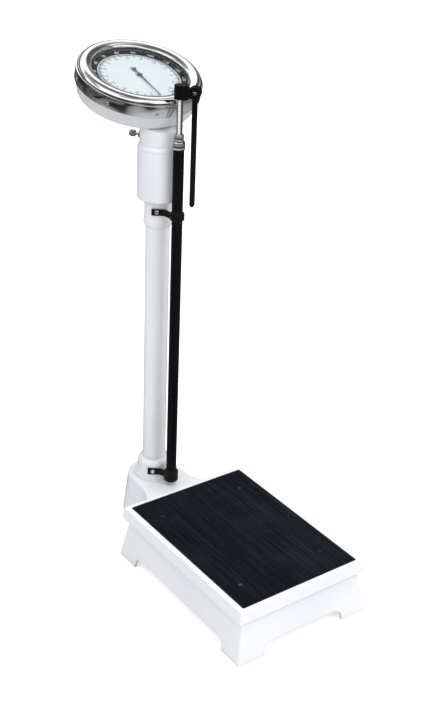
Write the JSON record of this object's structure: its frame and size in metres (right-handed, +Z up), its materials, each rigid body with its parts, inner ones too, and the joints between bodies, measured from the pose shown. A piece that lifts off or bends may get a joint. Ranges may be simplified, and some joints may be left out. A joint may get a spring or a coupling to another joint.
{
  "type": "column scale with height rod",
  "caption": "Personal weighing scale with a lever platform, a column, a tilted round dial head and a telescopic height rod with a folding head arm.",
  "frame": {"origin": "on the floor, under the middle of the whole scale's box", "axes": "+Z up; +Y from the platform towards the column, so the person steps on from -Y and reads the dial; +X to the person's right"},
  "size_m": [0.2884, 0.671, 0.9162],
  "materials": {
    "enamel": "white stove enamel",
    "case_paint": "light grey hammered paint",
    "bezel_chrome": "polished chrome plate",
    "dial_glass": "clear flat glass",
    "dial_white": "white printed sheet",
    "dial_black": "black printed ring",
    "pointer_black": "satin black",
    "mat_rubber": "ribbed black rubber",
    "seal_rubber": "black rubber",
    "lever_iron": "grey cast iron",
    "knife_steel": "ground hardened steel",
    "bright_steel": "bright drawn steel",
    "spring_steel": "oiled spring steel",
    "screw_chrome": "nickel-chrome plate",
    "movement_brass": "lacquered brass",
    "rod_black": "satin black enamel",
    "head_black": "moulded black plastic",
    "rod_silver": "satin anodised aluminium",
    "ferrule_chrome": "polished chrome plate",
    "guide_nylon": "natural nylon"
  },
  "bodies": {
    "stand": {"base_casting": "enamel", "fulcrum_bearings": "knife_steel", "column_foot": "enamel", "foot_bolts": "bright_steel", "column_tube": "enamel", "head_collar": "enamel", "spring_housing": "enamel", "head_neck": "enamel", "main_spring": "spring_steel", "zero_bush": "movement_brass", "dial_case": "case_paint", "dial_bezel": "bezel_chrome", "bezel_screws": "screw_chrome", "dial_glass": "dial_glass", "glass_gasket": "seal_rubber", "dial_face": "dial_white", "numeral_ring": "dial_black", "face_posts": "movement_brass", "movement_plate": "movement_brass", "movement_bridge": "movement_brass", "movement_pillars": "movement_brass", "shaft_bushes": "movement_brass", "crank_pin": "bright_steel", "rack_guide": "movement_brass", "outer_rod": "rod_black", "rod_end_cap": "head_black", "rod_clamp": "rod_black", "bracket_screws": "screw_chrome", "lower_ferrule": "ferrule_chrome"},
    "draw": {"draw_rod": "bright_steel", "draw_hook": "bright_steel", "draw_fork": "bright_steel", "spring_seat": "bright_steel"},
    "platform": {"platform_tray": "enamel", "platform_mat": "mat_rubber", "mat_studs": "screw_chrome", "load_posts": "lever_iron"},
    "long": {"long_lever": "lever_iron", "long_lever_knives": "knife_steel"},
    "short": {"short_lever": "lever_iron", "short_lever_knives": "knife_steel"},
    "shackle": {"lever_shackle": "bright_steel"},
    "crank": {"bell_crank": "movement_brass"},
    "rack_bar": {"rack": "movement_brass"},
    "pointer_arbor": {"pinion": "movement_brass", "pointer_shaft": "bright_steel", "pointer": "pointer_black", "pointer_hub": "pointer_black"},
    "zero": {"zero_screw": "bright_steel", "zero_knob": "screw_chrome"},
    "middle": {"middle_tube": "rod_silver", "middle_bush": "guide_nylon", "upper_ferrule": "ferrule_chrome"},
    "inner": {"inner_rod": "rod_silver", "inner_bush": "guide_nylon"},
    "swivel": {"head_block": "head_black", "arm_pivot": "screw_chrome"},
    "arm": {"head_arm": "head_black"}
  },
  "joints": [
    {"name": "draw_slide", "type": "slide", "parent": "stand", "child": "draw", "axis": [0, 0, 1], "range_m": [-0.015, 0], "stiffness_N_per_m": 10500, "springref_m": 0.002, "deforming": ["main_spring"]},
    {"name": "platform_slide", "type": "slide", "parent": "stand", "child": "platform", "axis": [0, 0, 1], "range_m": [-0.00145, 0]},
    {"name": "long_lever_tilt", "type": "hinge", "parent": "stand", "child": "long", "pos_m": [0, -0.30571, 0.06], "axis": [1, 0, 0], "range_deg": [-1.88, 0]},
    {"name": "short_lever_tilt", "type": "hinge", "parent": "stand", "child": "short", "pos_m": [0, 0.02629, 0.06], "axis": [1, 0, 0], "range_deg": [0, 1.88]},
    {"name": "shackle_tilt", "type": "hinge", "parent": "long", "child": "shackle", "pos_m": [0, -0.13971, 0.067], "axis": [1, 0, 0], "range_deg": [0, 1.88]},
    {"name": "crank_turn", "type": "hinge", "parent": "stand", "child": "crank", "pos_m": [0, 0.17579, 0.80832], "axis": [1, 0, 0], "range_deg": [0, 40]},
    {"name": "rack_slide", "type": "slide", "parent": "stand", "child": "rack_bar", "axis": [0, 0.9583, 0.2857], "range_m": [-0.0264, 0]},
    {"name": "pointer_turn", "type": "hinge", "parent": "stand", "child": "pointer_arbor", "pos_m": [0, 0.22149, 0.8725], "axis": [0, -0.2857, 0.9583], "range_deg": [-360.1, 0]},
    {"name": "zero_turn", "type": "hinge", "parent": "stand", "child": "zero", "pos_m": [0, 0.15509, 0.777], "axis": [-0.4695, 0.8829, 0], "range_deg": [-180, 180]},
    {"name": "middle_tube_slide", "type": "slide", "parent": "stand", "child": "middle", "axis": [0, 0, 1], "range_m": [0, 0.575]},
    {"name": "inner_rod_slide", "type": "slide", "parent": "middle", "child": "inner", "axis": [0, 0, 1], "range_m": [-0.056, 0.575]},
    {"name": "head_swivel", "type": "hinge", "parent": "inner", "child": "swivel", "pos_m": [0.005, 0.10009, 0.8717], "axis": [0, 0, 1], "range_deg": [-105, 42]},
    {"name": "arm_fold", "type": "hinge", "parent": "swivel", "child": "arm", "pos_m": [0.02426, 0.08262, 0.8717], "axis": [-0.6717, -0.7408, 0], "range_deg": [0, 90]}
  ],
  "couplings": [
    {"joint": "platform_slide", "follows": "draw_slide", "ratio": 0.095486},
    {"joint": "long_lever_tilt", "follows": "draw_slide", "rad_per_m": 2.1701},
    {"joint": "short_lever_tilt", "follows": "draw_slide", "rad_per_m": -2.1701},
    {"joint": "shackle_tilt", "follows": "draw_slide", "rad_per_m": -2.1701},
    {"joint": "crank_turn", "follows": "draw_slide", "rad_per_m": -46.348},
    {"joint": "rack_slide", "follows": "draw_slide", "ratio": 1.7593},
    {"joint": "pointer_turn", "follows": "draw_slide", "rad_per_m": 418.88}
  ]
}
